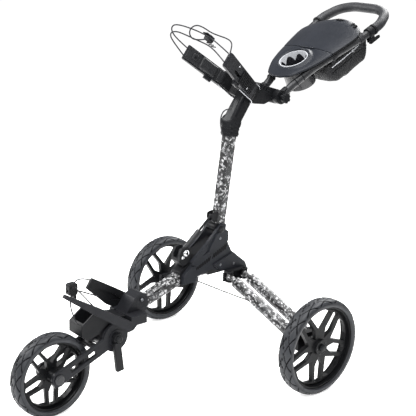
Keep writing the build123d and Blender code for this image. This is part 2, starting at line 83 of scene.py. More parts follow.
# ---------------------------------------------------------------- camera
def make_camera():
    place = Vector((2.23473, -1.97539, 1.38074))
    target = Vector((0.19607, -0.17102, 0.58058))
    roll = math.radians(1.62)
    forward = (target - place).normalized()
    right = forward.cross(Vector((0, 0, 1))).normalized()
    up = right.cross(forward)
    right = right * math.cos(roll) + up * math.sin(roll)
    up = right.cross(forward)
    data = bpy.data.cameras.new("camera")
    data.lens = 89.45
    data.sensor_width = 36
    data.clip_start = 0.05
    camera = bpy.data.objects.new("camera", data)
    rows = Matrix((right, up, -forward)).transposed().to_4x4()
    camera.matrix_world = Matrix.Translation(place) @ rows
    bpy.context.scene.collection.objects.link(camera)
    bpy.context.scene.camera = camera


make_camera()


# ---------------------------------------------------------------- materials
class Shader:
    """A node tree with short calls to add and join nodes."""

    def __init__(self, name):
        self.material = bpy.data.materials.new(name)
        self.material.use_nodes = True
        self.tree = self.material.node_tree
        self.bsdf = self.tree.nodes["Principled BSDF"]
        self.coords = self.tree.nodes.new("ShaderNodeTexCoord").outputs["Object"]

    def add(self, kind, sockets=None, **settings):
        node = self.tree.nodes.new(kind)
        for key, value in settings.items():
            setattr(node, key, value)
        for key, value in (sockets or {}).items():
            self.feed(value, node.inputs[key])
        return node

    def feed(self, value, socket):
        if isinstance(value, bpy.types.NodeSocket):
            self.tree.links.new(value, socket)
        else:
            socket.default_value = value

    def noise(self, scale, detail=3.0, rough=0.55, vector=None, distort=0.0):
        node = self.add("ShaderNodeTexNoise", {
            "Vector": vector or self.coords, "Scale": scale, "Detail": detail,
            "Roughness": rough, "Distortion": distort})
        return node.outputs["Fac"]

    def voronoi(self, scale, feature="F1", vector=None, output="Distance"):
        node = self.add("ShaderNodeTexVoronoi", feature=feature)
        self.feed(vector or self.coords, node.inputs["Vector"])
        self.feed(scale, node.inputs["Scale"])
        return node.outputs[output]

    def math(self, operation, a, b=0.0):
        node = self.add("ShaderNodeMath", {0: a, 1: b}, operation=operation)
        return node.outputs[0]

    def spread(self, value, low, high, to_low=0.0, to_high=1.0):
        node = self.add("ShaderNodeMapRange", {
            "Value": value, "From Min": low, "From Max": high,
            "To Min": to_low, "To Max": to_high})
        return node.outputs["Result"]

    def mix(self, share, a, b):
        node = self.add("ShaderNodeMix", data_type="RGBA")
        self.feed(share, node.inputs["Factor"])
        for value, key in ((a, "A"), (b, "B")):
            socket = [s for s in node.inputs if s.name == key and s.type == "RGBA"][0]
            self.feed(value if isinstance(value, bpy.types.NodeSocket) else colour(value), socket)
        return [s for s in node.outputs if s.type == "RGBA"][0]

    def stretch(self, scale, turn=(0, 0, 0)):
        node = self.add("ShaderNodeMapping", {"Vector": self.coords, "Scale": scale, "Rotation": turn})
        return node.outputs["Vector"]

    def bump(self, height, distance, strength=1.0, before=None):
        node = self.add("ShaderNodeBump", {"Height": height, "Distance": distance, "Strength": strength})
        if before is not None:
            self.feed(before, node.inputs["Normal"])
        return node.outputs["Normal"]

    def finish(self, **sockets):
        for key, value in sockets.items():
            self.feed(value, self.bsdf.inputs[key.replace("_", " ")])
        return self.material


def colour(value):
    return (*value, 1.0) if len(value) == 3 else value


def moulded(name, base, rough, grain=1400.0, depth=0.00006, scuff=0.06):
    """Moulded plastic: fine grain, slow tone changes, a few scuffs that catch light."""
    s = Shader(name)
    lighter = tuple(min(1.0, c * 1.5 + 0.004) for c in base)
    tone = s.spread(s.noise(9.0, 4), 0.35, 0.7)
    scuffs = s.spread(s.noise(1.0, 6, 0.7, vector=s.stretch((160, 60, 220))), 0.62, 0.75, 0, scuff)
    shade = s.mix(s.math("ADD", s.math("MULTIPLY", tone, 0.35), scuffs), base, lighter)
    roughness = s.spread(s.noise(35.0, 4), 0.3, 0.7, rough - 0.05, rough + 0.07)
    normal = s.bump(s.voronoi(grain), depth, 0.6)
    return s.finish(Base_Color=shade, Roughness=roughness, Normal=normal, Specular_IOR_Level=0.12)


def rubber(name, base, rough, grain, depth):
    """Dusty rubber; where a mesh marks its grooves, painted shade turns that part dark and dull."""
    s = Shader(name)
    dusty = tuple(c * 1.7 + 0.012 for c in base)
    dust = s.spread(s.noise(22.0, 6, 0.65), 0.42, 0.72, 0, 0.55)
    groove_shade = s.add("ShaderNodeAttribute", attribute_name="groove_shade").outputs["Fac"]
    fine = s.noise(grain, 3)
    normal = s.bump(fine, depth, 0.7)
    roughness = s.spread(s.noise(60.0, 3), 0.3, 0.7, rough - 0.06, rough + 0.08)
    # painted shade: marked grooves go near-black and reflect less
    shade = s.mix(groove_shade, s.mix(dust, base, dusty), tuple(c * 0.12 for c in base))
    specular = s.spread(groove_shade, 0, 1, 0.34, 0.04)
    return s.finish(Base_Color=shade, Roughness=roughness, Normal=normal, Specular_IOR_Level=specular)


def printed_aluminium():
    """Busy black, white and grey splatter print under a satin lacquer."""
    s = Shader("printed_aluminium")
    wobble = s.add("ShaderNodeTexNoise", {"Vector": s.coords, "Scale": 46.0, "Detail": 3.0})
    shift = s.add("ShaderNodeVectorMath", {0: wobble.outputs["Color"], 1: (0.016, 0.016, 0.016)},
                  operation="MULTIPLY")
    place = s.add("ShaderNodeVectorMath", {0: s.coords, 1: shift.outputs[0]}, operation="ADD").outputs[0]
    cells = s.voronoi(150.0, vector=place, output="Color")
    level = s.add("ShaderNodeSeparateColor", {"Color": cells}).outputs["Red"]
    ramp = s.add("ShaderNodeValToRGB", {"Fac": level})
    ramp.color_ramp.interpolation = "CONSTANT"
    steps = [(0.0, 0.005), (0.30, 0.30), (0.46, 0.008), (0.66, 0.50), (0.86, 0.09)]
    bar = ramp.color_ramp.elements
    while len(bar) < len(steps):
        bar.new(0.5)
    for element, (spot, grey) in zip(bar, steps):
        element.position = spot
        element.color = (grey, grey * 1.005, grey * 1.02, 1)
    outline = s.spread(s.voronoi(150.0, "DISTANCE_TO_EDGE", place), 0.035, 0.065)
    strokes = s.spread(s.noise(170.0, 2.5, 0.5, vector=place, distort=1.4), 0.535, 0.56)
    patches = s.spread(s.noise(19.0, 2), 0.60, 0.64, 0, 0.6)
    lined = s.mix(outline, (0.006, 0.006, 0.007), ramp.outputs["Color"])
    hatched = s.mix(s.math("MULTIPLY", strokes, 0.9), lined, (0.008, 0.008, 0.009))
    toned = s.mix(patches, hatched, (0.020, 0.021, 0.024))
    specks = s.spread(s.voronoi(330.0), 0.10, 0.16, 0.8, 0)
    shade = s.mix(specks, toned, (0.48, 0.49, 0.51))
    normal = s.bump(s.noise(700.0, 2), 0.00002, 0.4)
    return s.finish(Base_Color=shade, Roughness=0.36, Normal=normal, Coat_Weight=0.15,
                    Coat_Roughness=0.16)


def woven(name, base, rough, pitch, sheen):
    """Nylon cloth: threads both ways in the handle's plane, with soft fading."""
    s = Shader(name)
    flat = s.stretch((1, 1, 1), (-TILT, 0, 0))
    ways = []
    for axis in ("X", "Y", "Z"):
        wave = s.add("ShaderNodeTexWave", {"Vector": flat, "Scale": pitch, "Distortion": 0.6,
                                           "Detail": 1.0}, bands_direction=axis)
        ways.append(wave.outputs["Fac"])
    threads = s.math("MAXIMUM", s.math("MULTIPLY", ways[0], ways[1]), ways[2])
    tone = s.spread(s.noise(14.0, 5), 0.3, 0.72)
    shade = s.mix(s.math("MULTIPLY", tone, 0.6), base, tuple(c * 2.1 for c in base))
    shade = s.mix(s.math("MULTIPLY", threads, 0.35), shade, tuple(c * 2.6 for c in base))
    creases = s.bump(s.noise(48.0, 5, 0.6), 0.0012, 0.35)
    normal = s.bump(threads, 0.00025, 0.6, creases)
    return s.finish(Base_Color=shade, Roughness=rough, Normal=normal, Sheen_Weight=sheen,
                    Sheen_Roughness=0.4, Specular_IOR_Level=0.25)


def metal(name, base, rough, brushed=0.0):
    s = Shader(name)
    streaks = s.noise(1.0, 4, 0.6, vector=s.stretch((40, 900, 900)))
    tone = s.mix(s.spread(s.noise(30.0, 4), 0.35, 0.7), base, tuple(c * 0.82 for c in base))
    roughness = s.spread(streaks, 0.3, 0.7, rough, rough + 0.08 + brushed)
    return s.finish(Base_Color=tone, Metallic=1.0, Roughness=roughness,
                    Normal=s.bump(streaks, 0.00002, 0.3))


def coated(name, base, rough):
    """Powder coat: orange-peel bump under a thin clear coat."""
    s = Shader(name)
    tone = s.mix(s.spread(s.noise(16.0, 4), 0.35, 0.7), base, tuple(c * 1.5 + 0.004 for c in base))
    normal = s.bump(s.noise(420.0, 2), 0.00005, 0.5)
    return s.finish(Base_Color=tone, Roughness=rough, Normal=normal, Coat_Weight=0.12,
                    Coat_Roughness=0.2, Specular_IOR_Level=0.25)


def braided():
    s = Shader("elastic_cord")
    first = s.add("ShaderNodeTexWave", {"Vector": s.stretch((1, 1, 1), (0.8, 0.6, 0.4)), "Scale": 380.0},
                  bands_direction="DIAGONAL").outputs["Fac"]
    second = s.add("ShaderNodeTexWave", {"Vector": s.stretch((1, 1, 1), (-0.7, 0.5, 1.9)), "Scale": 380.0},
                   bands_direction="DIAGONAL").outputs["Fac"]
    weave = s.math("MAXIMUM", first, second)
    shade = s.mix(weave, (0.007, 0.0075, 0.0085), (0.030, 0.031, 0.035))
    return s.finish(Base_Color=shade, Roughness=0.62, Normal=s.bump(weave, 0.0002, 0.7),
                    Sheen_Weight=0.05, Specular_IOR_Level=0.2)


def cup_liner_material():
    """Silver at the rim, black below a scalloped line."""
    s = Shader("cup_liner")
    parts = s.add("ShaderNodeSeparateXYZ", {"Vector": s.coords})
    rim = on_handle(0, 136, 93)
    x = parts.outputs["X"]
    y = s.math("SUBTRACT", parts.outputs["Y"], rim.y)
    z = s.math("SUBTRACT", parts.outputs["Z"], rim.z)
    along = s.math("ADD", s.math("MULTIPLY", y, ALONG.y), s.math("MULTIPLY", z, ALONG.z))
    off = s.math("ADD", s.math("MULTIPLY", y, OUT.y), s.math("MULTIPLY", z, OUT.z))
    angle = s.math("ARCTAN2", x, along)
    teeth = s.math("ABSOLUTE", s.math("SINE", s.math("MULTIPLY", angle, 4.0)))
    line = s.math("SUBTRACT", off, s.math("MULTIPLY", teeth, 0.020))
    silver = s.spread(line, -0.0770, -0.0755)
    shade = s.mix(silver, (0.006, 0.006, 0.008), (0.42, 0.43, 0.45))
    rough = s.spread(s.noise(60.0, 3), 0.3, 0.7, 0.22, 0.34)
    return s.finish(Base_Color=shade, Roughness=rough, Specular_IOR_Level=0.6,
                    Normal=s.bump(s.noise(300.0), 0.00002, 0.3))


MATERIALS = {
    "black_plastic": moulded("black_plastic", (0.007, 0.0073, 0.0083), 0.40),
    "gloss_black": moulded("gloss_black", (0.007, 0.0074, 0.0085), 0.30, 900.0, 0.00002),
    "rim_plastic": moulded("rim_plastic", (0.0045, 0.0048, 0.0054), 0.36, 1100.0),
    "charcoal": moulded("charcoal", (0.011, 0.0115, 0.0135), 0.40),
    # near-black for the painted shade in the hinge plates' slots
    "painted_slot_shade": moulded("painted_slot_shade", (0.001, 0.001, 0.001), 0.7),
    "slate": moulded("slate", (0.0145, 0.0157, 0.019), 0.40),
    "console": moulded("console", (0.012, 0.0135, 0.0175), 0.33, 1700.0, 0.00005),
    "tyre_rubber": rubber("tyre_rubber", (0.0135, 0.0148, 0.018), 0.46, 900.0, 0.0002),
    "grip_rubber": rubber("grip_rubber", (0.013, 0.0137, 0.016), 0.50, 520.0, 0.0004),
    "pad_rubber": rubber("pad_rubber", (0.010, 0.0105, 0.012), 0.46, 1100.0, 0.0002),
    "printed_aluminium": printed_aluminium(),
    "bag_fabric": woven("bag_fabric", (0.0036, 0.0038, 0.0046), 0.56, 520.0, 0.02),
    "webbing": woven("webbing", (0.008, 0.0083, 0.0095), 0.62, 320.0, 0.05),
    "steel": metal("steel", (0.56, 0.57, 0.59), 0.26, 0.1),
    "dark_steel": metal("dark_steel", (0.15, 0.155, 0.165), 0.28, 0.1),
    "chrome": metal("chrome", (0.78, 0.79, 0.81), 0.08),
    "silver": coated("silver", (0.44, 0.45, 0.47), 0.30),
    "black_metal": coated("black_metal", (0.016, 0.0165, 0.018), 0.36),
    "elastic_cord": braided(),
    "cup_liner": cup_liner_material(),
}

NODE_FINISH = {
    "printed_aluminium": ["front_tube", "mast_tube", "leg_front_left", "leg_front_right",
                          "leg_rear_left", "leg_rear_right"],
    "slate": ["hinge_plate_left", "hinge_plate_right"],
    "charcoal": ["upper_arms", "drum_housing", "fork", "front_clamp", "lower_arm_thin"],
    "gloss_black": ["elbow_sleeve", "lock_knob", "strut_rod"],
    "rim_plastic": ["rim_front", "rim_left", "rim_right"],
    "grip_rubber": ["handle_grip"],
    "pad_rubber": ["arm_pads"],
    "black_metal": ["handle_tube", "strut_cylinder", "mast_pin", "drum_pin", "front_axle", "handle_pin"],
    "dark_steel": ["hinge_screws"],
    "cup_liner": ["cup_liner"],
}
EDGE_MM = {"handle_tube": 0, "handle_grip": 0, "cup_liner": 0.6, "rim_front": 0.9, "rim_left": 0.9,
           "rim_right": 0.9, "hinge_plate_left": 0.8, "hinge_plate_right": 0.8, "mast_tube": 0,
           "front_tube": 0, "hinge_screws": 0.3}
CORD_NODES = ("upper_cord_top", "upper_cord_low", "upper_cord_slack", "lower_cord_top",
              "lower_cord_low", "brake_wire", "mast_cable")


def finish_nodes():
    """Gives every CAD node its material and softens its sharp edges."""
    chosen = {n: slot for slot, names in NODE_FINISH.items() for n in names}
    for name, node in nodes.items():
        node.data.materials.clear()
        node.data.materials.append(MATERIALS[chosen.get(name, "black_plastic")])
        edge = EDGE_MM.get(name, 0.7)
        if name in CORD_NODES or edge == 0:
            continue
        weld = node.modifiers.new("weld", "WELD")
        weld.merge_threshold = 0.00002
        bevel = node.modifiers.new("edges", "BEVEL")
        bevel.width = edge * MM
        bevel.segments = 2
        bevel.limit_method = "ANGLE"
        bevel.angle_limit = math.radians(38)
        bevel.harden_normals = False


finish_nodes()


# ---------------------------------------------------------------- mesh helpers
def add_mesh(name, points, faces, finish, smooth=True):
    mesh = bpy.data.meshes.new(name)
    mesh.from_pydata([tuple(p) for p in points], [], faces)
    mesh.validate()
    solid = bmesh.new()
    solid.from_mesh(mesh)
    bmesh.ops.remove_doubles(solid, verts=solid.verts, dist=0.000005)
    bmesh.ops.recalc_face_normals(solid, faces=solid.faces)
    solid.to_mesh(mesh)
    solid.free()
    mesh.materials.append(MATERIALS[finish])
    if smooth:
        mesh.shade_smooth()
    piece = bpy.data.objects.new(name, mesh)
    bpy.context.scene.collection.objects.link(piece)
    return piece


def grid_faces(rows, columns, wrap_rows=False, wrap_columns=False):
    faces = []
    for i in range(rows if wrap_rows else rows - 1):
        for j in range(columns if wrap_columns else columns - 1):
            k, m = (i + 1) % rows, (j + 1) % columns
            faces.append((i * columns + j, i * columns + m, k * columns + m, k * columns + j))
    return faces


def facing(axis):
    """Rotation that takes +Z to axis."""
    return Vector(axis).to_track_quat("Z", "Y").to_matrix()


def turned(name, profile_mm, centre, axis, finish, segments=48):
    """Solid of revolution: profile of (radius, height) about axis, closed on itself."""
    frame_rows = facing(axis)
    points = []
    for k in range(segments):
        angle = math.tau * k / segments
        for radius, height in profile_mm:
            local = Vector((radius * math.cos(angle), radius * math.sin(angle), height)) * MM
            points.append(Vector(centre) + frame_rows @ local)
    faces = grid_faces(segments, len(profile_mm), True, True)
    piece = add_mesh(name, points, faces, finish)
    soften(piece, 0.2, 30)
    return piece


def soften(piece, width_mm, angle_deg=35, segments=2):
    bevel = piece.modifiers.new("edges", "BEVEL")
    bevel.width = width_mm * MM
    bevel.segments = segments
    bevel.limit_method = "ANGLE"
    bevel.angle_limit = math.radians(angle_deg)


def brick(name, size_mm, centre, x_dir, z_dir, finish, round_mm=1.0):
    """Rounded block with its own directions."""
    z = Vector(z_dir).normalized()
    x = (Vector(x_dir) - z * Vector(x_dir).dot(z)).normalized()
    rows = Matrix((x, z.cross(x), z)).transposed()
    half = Vector(size_mm) * MM / 2
    corners = [(-1, -1, -1), (1, -1, -1), (1, 1, -1), (-1, 1, -1),
               (-1, -1, 1), (1, -1, 1), (1, 1, 1), (-1, 1, 1)]
    points = [Vector(centre) + rows @ Vector([c * h for c, h in zip(corner, half)])
              for corner in corners]
    faces = [(0, 3, 2, 1), (4, 5, 6, 7), (0, 1, 5, 4), (1, 2, 6, 5), (2, 3, 7, 6), (3, 0, 4, 7)]
    piece = add_mesh(name, points, faces, finish, smooth=False)
    soften(piece, round_mm, 30, 3)
    return piece


def ride(piece, body):
    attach(piece, body)
    return piece


def screw(name, centre, axis, radius, body, finish="dark_steel"):
    """Pan-head screw with a round recess."""
    r = radius
    profile = [(0.01, 0.35 * r), (0.45 * r, 0.35 * r), (0.48 * r, 0.62 * r), (0.80 * r, 0.58 * r),
               (r, 0.30 * r), (r, -0.2 * r), (0.01, -0.2 * r)]
    return ride(turned(name, profile, centre, axis, finish, 24), body)


def collar(name, centre, axis, inner, outer, length, body, finish="black_plastic"):
    half = length / 2
    profile = [(inner, -half), (outer - 0.8, -half), (outer, -half + 0.8), (outer, half - 0.8),
               (outer - 0.8, half), (inner, half)]
    return ride(turned(name, profile, centre, axis, finish), body)


# ---------------------------------------------------------------- cords and cables
def cord(name, route_mm, finish, body, node, slot, **facts):
    """A cord along its route, the NURBS control points."""
    curve = bpy.data.curves.new(name, "CURVE")
    curve.dimensions = "3D"
    curve.bevel_depth = facts["diameter"] / 2
    curve.bevel_resolution = 5
    curve.resolution_u = 14
    curve.use_fill_caps = True
    spline = curve.splines.new("NURBS")
    spline.points.add(len(route_mm) - 1)
    for point, place in zip(spline.points, route_mm):
        point.co = (*design(*place), 1)
    spline.order_u = 3
    spline.use_endpoint_u = True
    curve.materials.append(MATERIALS[finish])
    piece = bpy.data.objects.new(name, curve)
    bpy.context.scene.collection.objects.link(piece)
    ride(piece, body)
    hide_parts(node)
    return piece


ELASTIC = dict(finish="elastic_cord", slot="elastic_cord", diameter=0.004, far_end="object",
               stiffness="medium", lay="loose")
cord("bag_cord_top", [
    (-88, -146, 974), (-82, -180, 996), (-72, -216, 1022), (-62, -231, 1042), (-50, -225, 1053),
    (-26, -190, 1042), (-2, -150, 1022), (34, -140, 1004), (84, -141, 980)],
    body="mast", node="upper_cord_top", length=0.317, **ELASTIC)
cord("bag_cord_low", [
    (-88, -160, 953), (-81, -188, 978), (-74, -214, 1002), (-65, -231, 1018), (-52, -238, 1031),
    (-37, -227, 1033), (-23, -202, 1021), (-8, -172, 1006), (14, -152, 994), (48, -150, 976),
    (88, -158, 956)],
    body="mast", node="upper_cord_low", length=0.317, **ELASTIC)
cord("bag_cord_slack", [
    (3, -158, 1011), (-10, -188, 1008), (-13, -204, 1024), (-8, -206, 1043), (2, -192, 1054),
    (8, -170, 1046), (15, -146, 1030), (28, -128, 1022), (46, -115, 1016), (66, -114, 1009),
    (80, -124, 995), (93, -147, 970)],
    body="mast", node="upper_cord_slack", length=0.269, **ELASTIC)
cord("foot_cord_top", [
    (-43, -524, 349), (-32, -556, 364), (-16, -592, 373), (4, -617, 369), (16, -604, 350),
    (32, -588, 327), (48, -572, 303)],
    body="frame", node="lower_cord_top", length=0.195, **ELASTIC)
cord("foot_cord_low", [
    (-43, -500, 294), (-30, -546, 318), (-12, -590, 342), (0, -618, 345), (6, -628, 320),
    (6, -622, 288), (4, -607, 256)],
    body="frame", node="lower_cord_low", length=0.228, **ELASTIC)
cord("brake_cable", [(12, -176, 286), (60, -146, 271), (104, -112, 254), (146, -80, 240)],
     finish="black_metal", body="frame", node="brake_wire", slot="steel", length=0.171, diameter=0.004,
     far_end="object", stiffness="stiff", lay="taut")
cord("mast_lead", [
    (16, -62, 800), (22, -84, 806), (23, -104, 794), (23, -108, 770), (23, -104, 748),
    (22, -96, 726), (20.5, -88, 704)],
    finish="black_metal", body="mast", node="mast_cable", slot="black_metal", length=0.138,
    diameter=0.004, far_end="object", stiffness="stiff", lay="loose")


# ---------------------------------------------------------------- wheels
TREAD_LINES = {"rear": 15, "front": 13}
GROOVE_DEEP_MM, GROOVE_HALF_MM = 2.4, 2.3
GROOVE_REACH_MM = 34          # across the tread, where the curved grooves end
GROOVE_SLANT_MM = 62          # how far round the tyre they run on the way
SECTION_MM = 20               # height of the tyre's section
TREAD_MM = 8.5                # the part of it that the grooves cut
SIDE_RINGS_MM = ((9.4, 1.0, 1.1), (13.2, 0.8, 0.9), (17.0, 1.0, 1.0))   # drop, half width, depth


def tread_depth(u, s, pitch):
    """How deep the crossing grooves cut at arc length u round the tyre and s across it, in mm."""
    slant = GROOVE_SLANT_MM * math.sin(max(-1.0, min(1.0, s / GROOVE_REACH_MM)) * math.pi / 2)
    depth = 0.0
    for way in (1, -1):
        gap = (u - way * slant) % pitch
        gap = min(gap, pitch - gap) * 0.52
        depth = max(depth, GROOVE_DEEP_MM * max(0.0, 1 - (gap / GROOVE_HALF_MM) ** 4))
    return depth


def tyre_section(radius_mm, half):
    """Half-round section as (x, radius, distance from the middle of the tread), in mm."""
    over = 46
    section = []
    for j in range(over):
        angle = math.pi * j / (over - 1)
        c, s = math.cos(angle), math.sin(angle)
        x = -half * math.copysign(abs(c) ** 0.62, c)
        section.append([x, radius_mm - SECTION_MM + SECTION_MM * abs(s) ** 0.50, 0.0])
    for way, stop in ((1, over), (-1, -1)):
        for j in range(over // 2 + way, stop, way):
            here, last = section[j], section[j - way]
            here[2] = last[2] + way * math.hypot(here[0] - last[0], here[1] - last[1])
    return section


def tyre(name, node, centre, radius, lines, body):
    """Tyre with cut grooves; a mesh attribute paints shade into them and the side rings in the shader."""
    radius_mm, half = radius / MM, TYRE_HALF / MM
    around = 560
    pitch = math.tau * radius_mm / lines
    section = tyre_section(radius_mm, half)
    bed = radius_mm - SECTION_MM
    edge = radius_mm - TREAD_MM
    points, shade = [], []
    for i in range(around):
        turn = math.tau * i / around
        for x, r, s in section:
            cut = 0.0
            if r > edge:
                cut = tread_depth(turn * radius_mm, s, pitch) * min(1.0, (r - edge) / 3)
            if abs(abs(x) - half) < 6:
                for drop, width, deep in SIDE_RINGS_MM:
                    cut += deep * max(0.0, 1 - (abs(radius_mm - r - drop) / width) ** 2)
            # painted shade mask: the deeper the cut, the darker the shader makes it
            shade.append(min(1.0, cut / 1.6))
            if r < edge:
                x -= math.copysign(cut * 0.5, x)
            else:
                r = bed + max(0.0, r - cut - bed)
            points.append((centre.x + x * MM, centre.y + r * MM * math.sin(turn),
                           centre.z - r * MM * math.cos(turn)))
    piece = add_mesh(name, points, grid_faces(around, len(section), True, True), "tyre_rubber")
    piece.data.attributes.new("groove_shade", "FLOAT", "POINT").data.foreach_set("value", shade)
    ride(piece, body)
    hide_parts(node)


def wheels():
    shaft_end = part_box("knuckle_left")[1].x
    hub_face = shaft_end - 0.0038
    cap = [(0.0062, 4.4), (5.58, 4.0), (9.3, 2.6), (11.47, 0.6), (11.78, -1.5), (5.58, -1.5),
           (0.0062, -1.5)]
    washer = [(5.2, 0), (13.5, 0), (14.5, 1.0), (14.5, 3.4), (13, 4.2), (8, 4.4), (5.2, 4.4)]
    for side_name, sign in (("left", 1), ("right", -1)):
        hub = middle("tyre_" + side_name)
        body = "wheel_" + side_name
        tyre("tread_" + side_name, "tyre_" + side_name, hub, REAR_R, TREAD_LINES["rear"], body)
        spot = Vector((sign * (shaft_end + 0.0006), hub.y, hub.z))
        ride(turned("axle_cap_" + side_name, cap, spot, (sign, 0, 0), "gloss_black"),
             "hub_" + side_name)
        for k in range(5):
            angle = math.tau * (k + 0.5) / 5
            place = Vector((sign * hub_face, hub.y + 0.0185 * math.cos(angle),
                            hub.z + 0.0185 * math.sin(angle)))
            screw(f"hub_screw_{side_name}_{k}", place, (sign, 0, 0), 2.3, body, "black_metal")
    tyre("tread_front", "tyre_front", FRONT_HUB, FRONT_R, TREAD_LINES["front"], "front_wheel")
    for side_name, sign in (("left", 1), ("right", -1)):
        spot = Vector((sign * 0.0435, FRONT_HUB.y, FRONT_HUB.z))
        ride(turned("axle_washer_" + side_name, washer, spot, (sign, 0, 0), "black_metal"),
             "fork")


wheels()


# ---------------------------------------------------------------- console
CONSOLE_MM = [(47, 16), (60, 46), (92, 68), (122, 84), (160, 96), (202, 105), (250, 114),
              (305, 119), (338, 104), (362, 78), (378, 42)]      # station along, half width
CUP_ALONG, CUP_R = 136, 46.6
CUT = 202                                                     # where the lid meets the shell


def console_width(along):
    """Half width at a station, on a smooth curve through the stations."""
    spots = [a for a, _ in CONSOLE_MM]
    widths = [w for _, w in CONSOLE_MM]
    k = max(0, min(len(spots) - 2, int(np.searchsorted(spots, along)) - 1))
    p0, p3 = widths[max(0, k - 1)], widths[min(len(spots) - 1, k + 2)]
    p1, p2 = widths[k], widths[k + 1]
    t = min(1.0, max(0.0, (along - spots[k]) / (spots[k + 1] - spots[k])))
    return 0.5 * (2 * p1 + (p2 - p0) * t + (2 * p0 - 5 * p1 + 4 * p2 - p3) * t * t
                  + (3 * p1 - p0 - 3 * p2 + p3) * t ** 3)


def console_height(x, along):
    """Top of the console above the handle's middle line."""
    edge = 38.0
    crown = np.interp(along, [47, 70, 100, 150, 202, 290, 350, 378], [40, 43, 46, 47.5, 48, 51, 50, 46])
    share = min(1.0, abs(x) / max(1.0, console_width(along)))
    height = edge + (crown - edge) * (1 - share ** 2.4) ** 0.8
    reach = math.hypot(x, along - CUP_ALONG)
    lean = 0.5 + 0.5 * (along - CUP_ALONG) / max(reach, 1)
    height += (1.6 + 3.4 * lean) * math.exp(-((reach - CUP_R - 5) / 5.5) ** 2)
    height -= 2.0 * math.exp(-((reach - CUP_R - 19) / 7) ** 2) * lean
    return height


def front_cover():
    """Domed shell round the cup, drawn in rings from the cup's edge to the outline."""
    around, rings = 144, 22
    points = []
    for k in range(around):
        angle = math.tau * k / around
        dx, da = math.sin(angle), math.cos(angle)
        reach = CUP_R
        while reach < 130:
            x, along = dx * reach, CUP_ALONG + da * reach
            edge = CUT - (2.4 if abs(x) < 31.5 else 0.6)
            if along < 48 or along > edge or abs(x) > console_width(along) - 0.2:
                break
            reach += 0.25
        inner = (dx * CUP_R, CUP_ALONG + da * CUP_R)
        outer = (dx * reach, CUP_ALONG + da * reach)
        points.append(on_handle(*inner, 34))
        for j in range(rings):
            share = (j / (rings - 1)) ** 0.9
            x = inner[0] + (outer[0] - inner[0]) * share
            along = inner[1] + (outer[1] - inner[1]) * share
            height = console_height(x, along)
            if j == 0:
                height -= 1.6
            if j == rings - 1:
                height = min(height, console_height(x * 0.985, along)) - 0.8
            points.append(on_handle(x, along, height))
        points.append(on_handle(*outer, 33.4))
    faces = grid_faces(around, rings + 2, True, True)
    piece = add_mesh("console_cover", points, faces, "console")
    soften(piece, 0.7, 45)
    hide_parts("console_shell")
    return ride(piece, "handle")


def rear_frame():
    """The tray's rim under the lid."""
    stations = np.linspace(CUT, 377.5, 44)
    outer = [(console_width(a) + 0.6, a) for a in stations]
    outer += [(-w, a) for w, a in reversed(outer)]
    inner = [(x * 0.76, 282 + (a - 282) * 0.80) for x, a in outer]
    points = []
    for (xo, ao), (xi, ai) in zip(outer, inner):
        points += [on_handle(xo, ao, 36.4), on_handle(xo, ao, 33), on_handle(xi, ai, 33),
                   on_handle(xi, ai, 36.4)]
    piece = add_mesh("console_rim", points, grid_faces(len(outer), 4, True, True), "black_plastic",
                     smooth=False)
    soften(piece, 0.5)
    return ride(piece, "handle")


def lid():
    """Domed lid with a turned-down skirt."""
    rows, columns = 46, 49
    skirt = 37.4                                              # foot of the turned-down edge
    top = []
    for i in range(-1, rows + 1):
        along = CUT + 1.0 + (377 - CUT - 1.0) * min(max(i, 0), rows - 1) / (rows - 1)
        wide = console_width(along) - 0.4
        row = []
        for j in range(-1, columns + 1):
            x = wide * (2 * min(max(j, 0), columns - 1) / (columns - 1) - 1)
            height = console_height(x, along)
            if i in (-1, rows) or j in (-1, columns):
                height = skirt
            row.append(on_handle(x, along, height))
        top.append(row)
    points = [p for row in top for p in row]
    piece = add_mesh("console_top", points, grid_faces(rows + 2, columns + 2), "console")
    wall = piece.modifiers.new("wall", "SOLIDIFY")
    wall.thickness = 0.0022
    wall.offset = -1
    soften(piece, 0.8, 50)
    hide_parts("console_lid")
    ride(piece, "lid")
    barrel = [(0.01, -30), (2.0, -30), (2.0, 30), (0.01, 30)]
    ride(turned("lid_hinge", barrel, on_handle(0, 202.5, 47), ACROSS, "console", 24), "lid")
    latch = brick("lid_latch", (26, 12, 5), on_handle(0, 369, 48.2), ACROSS, OUT + ALONG * 0.35,
                  "black_plastic", 1.8)
    ride(latch, "lid")
    for k, x in enumerate((62, 78)):
        tab = brick(f"lid_tab_{k}", (9, 13, 8), on_handle(x, 356 - 0.5 * (x - 62), 44), ACROSS, OUT,
                    "black_plastic", 1.5)
        ride(tab, "lid")


front_cover()
rear_frame()
lid()


# ---------------------------------------------------------------- accessory bag
BAG_MIDDLE, BAG_HALF_LONG, BAG_HALF_WIDE = 291.5, 98, 83     # mm, in the handle's directions
ZIP_OFF, PIPING_OFF = -17, -40                                # mm below the handle
SAG_STEPS = 26


def bag_depth(along):
    """How far the bag hangs at a station, in mm."""
    return np.interp(along, [190, 232, 282, 366, 388, 393], [54, 76, 86, 87, 70, 40])


